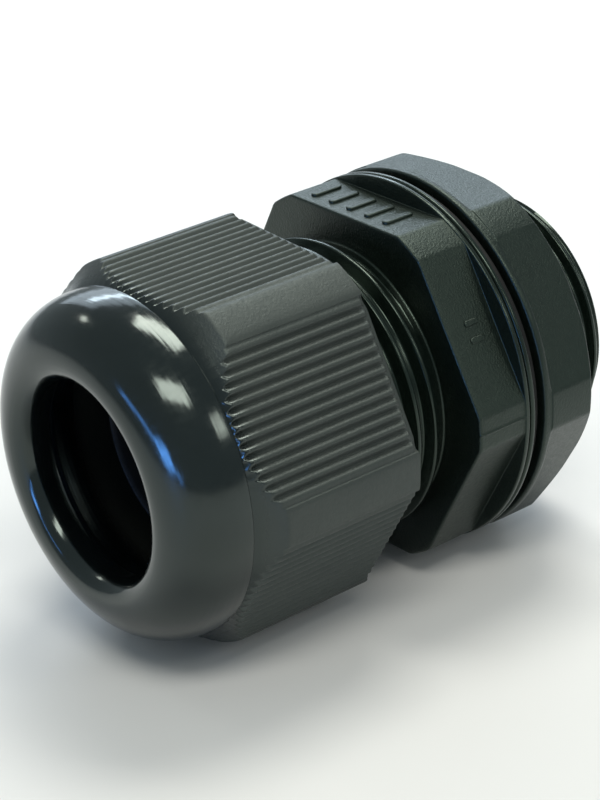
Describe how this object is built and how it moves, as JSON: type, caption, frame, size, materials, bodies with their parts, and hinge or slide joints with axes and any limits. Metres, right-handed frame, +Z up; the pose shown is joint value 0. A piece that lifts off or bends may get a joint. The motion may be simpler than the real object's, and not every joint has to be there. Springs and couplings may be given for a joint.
{
  "type": "cable gland",
  "caption": "Nylon screw-in cable gland with ribbed dome nut, clamp fingers, seal, hexagon body, sealing washer and locknut.",
  "frame": {"origin": "centre of the bounding box in X and Y, lowest point in Z; the gland lies on its round flange", "axes": "+X along the gland axis from the dome mouth to the entry thread end, +Z up through the middle of a body hexagon flat, +Y to the far side"},
  "size_m": [0.0518, 0.0362, 0.036],
  "materials": {
    "nylon_gloss": "gloss",
    "nylon_satin": "fine matte",
    "nylon_finger": "satin",
    "rubber_black": "matte"
  },
  "bodies": {
    "body": {"gland_body": "nylon_satin"},
    "seal_spin": {"seal_bush": "rubber_black"},
    "dome": {"dome_nut": "nylon_gloss"},
    "washer_spin": {"sealing_washer": "rubber_black"},
    "back_nut": {"locknut": "nylon_satin"},
    "finger_01": {"clamp_finger_01": "nylon_finger"},
    "finger_02": {"clamp_finger_02": "nylon_finger"},
    "finger_03": {"clamp_finger_03": "nylon_finger"},
    "finger_04": {"clamp_finger_04": "nylon_finger"},
    "finger_05": {"clamp_finger_05": "nylon_finger"},
    "finger_06": {"clamp_finger_06": "nylon_finger"},
    "finger_07": {"clamp_finger_07": "nylon_finger"},
    "finger_08": {"clamp_finger_08": "nylon_finger"},
    "finger_09": {"clamp_finger_09": "nylon_finger"},
    "finger_10": {"clamp_finger_10": "nylon_finger"},
    "finger_11": {"clamp_finger_11": "nylon_finger"},
    "finger_12": {"clamp_finger_12": "nylon_finger"}
  },
  "joints": [
    {"name": "dome_turn", "type": "hinge", "parent": "body", "child": "seal_spin", "pos_m": [0, 0, 0.018], "axis": [1, 0, 0], "range_deg": [-180, 1224], "deforming": ["seal_bush"]},
    {"name": "dome_travel", "type": "slide", "parent": "seal_spin", "child": "dome", "axis": [1, 0, 0], "range_m": [-0.001, 0.0068]},
    {"name": "locknut_turn", "type": "hinge", "parent": "body", "child": "washer_spin", "pos_m": [0, 0, 0.018], "axis": [1, 0, 0], "range_deg": [0, 1080]},
    {"name": "locknut_travel", "type": "slide", "parent": "washer_spin", "child": "back_nut", "axis": [1, 0, 0], "range_m": [0, 0.0045]},
    {"name": "finger_01_bend", "type": "hinge", "parent": "body", "child": "finger_01", "pos_m": [-0.00525, -0.00297, 0.02908], "axis": [0, -0.9659, -0.2588], "range_deg": [-1.86, 12.52]},
    {"name": "finger_02_bend", "type": "hinge", "parent": "body", "child": "finger_02", "pos_m": [-0.00525, -0.00811, 0.02611], "axis": [0, -0.7071, -0.7071], "range_deg": [-1.86, 12.52]},
    {"name": "finger_03_bend", "type": "hinge", "parent": "body", "child": "finger_03", "pos_m": [-0.00525, -0.01108, 0.02097], "axis": [0, -0.2588, -0.9659], "range_deg": [-1.86, 12.52]},
    {"name": "finger_04_bend", "type": "hinge", "parent": "body", "child": "finger_04", "pos_m": [-0.00525, -0.01108, 0.01503], "axis": [0, 0.2588, -0.9659], "range_deg": [-1.86, 12.52]},
    {"name": "finger_05_bend", "type": "hinge", "parent": "body", "child": "finger_05", "pos_m": [-0.00525, -0.00811, 0.00989], "axis": [0, 0.7071, -0.7071], "range_deg": [-1.86, 12.52]},
    {"name": "finger_06_bend", "type": "hinge", "parent": "body", "child": "finger_06", "pos_m": [-0.00525, -0.00297, 0.00692], "axis": [0, 0.9659, -0.2588], "range_deg": [-1.86, 12.52]},
    {"name": "finger_07_bend", "type": "hinge", "parent": "body", "child": "finger_07", "pos_m": [-0.00525, 0.00297, 0.00692], "axis": [0, 0.9659, 0.2588], "range_deg": [-1.86, 12.52]},
    {"name": "finger_08_bend", "type": "hinge", "parent": "body", "child": "finger_08", "pos_m": [-0.00525, 0.00811, 0.00989], "axis": [0, 0.7071, 0.7071], "range_deg": [-1.86, 12.52]},
    {"name": "finger_09_bend", "type": "hinge", "parent": "body", "child": "finger_09", "pos_m": [-0.00525, 0.01108, 0.01503], "axis": [0, 0.2588, 0.9659], "range_deg": [-1.86, 12.52]},
    {"name": "finger_10_bend", "type": "hinge", "parent": "body", "child": "finger_10", "pos_m": [-0.00525, 0.01108, 0.02097], "axis": [0, -0.2588, 0.9659], "range_deg": [-1.86, 12.52]},
    {"name": "finger_11_bend", "type": "hinge", "parent": "body", "child": "finger_11", "pos_m": [-0.00525, 0.00811, 0.02611], "axis": [0, -0.7071, 0.7071], "range_deg": [-1.86, 12.52]},
    {"name": "finger_12_bend", "type": "hinge", "parent": "body", "child": "finger_12", "pos_m": [-0.00525, 0.00297, 0.02908], "axis": [0, -0.9659, 0.2588], "range_deg": [-1.86, 12.52]}
  ],
  "couplings": [
    {"joint": "dome_travel", "follows": "dome_turn", "m_per_rad": 0.00031831},
    {"joint": "locknut_travel", "follows": "locknut_turn", "m_per_rad": 0.00023873},
    {"joint": "finger_01_bend", "follows": "dome_turn", "ratio": 0.010212},
    {"joint": "finger_02_bend", "follows": "dome_turn", "ratio": 0.010212},
    {"joint": "finger_03_bend", "follows": "dome_turn", "ratio": 0.010212},
    {"joint": "finger_04_bend", "follows": "dome_turn", "ratio": 0.010212},
    {"joint": "finger_05_bend", "follows": "dome_turn", "ratio": 0.010212},
    {"joint": "finger_06_bend", "follows": "dome_turn", "ratio": 0.010212},
    {"joint": "finger_07_bend", "follows": "dome_turn", "ratio": 0.010212},
    {"joint": "finger_08_bend", "follows": "dome_turn", "ratio": 0.010212},
    {"joint": "finger_09_bend", "follows": "dome_turn", "ratio": 0.010212},
    {"joint": "finger_10_bend", "follows": "dome_turn", "ratio": 0.010212},
    {"joint": "finger_11_bend", "follows": "dome_turn", "ratio": 0.010212},
    {"joint": "finger_12_bend", "follows": "dome_turn", "ratio": 0.010212}
  ]
}
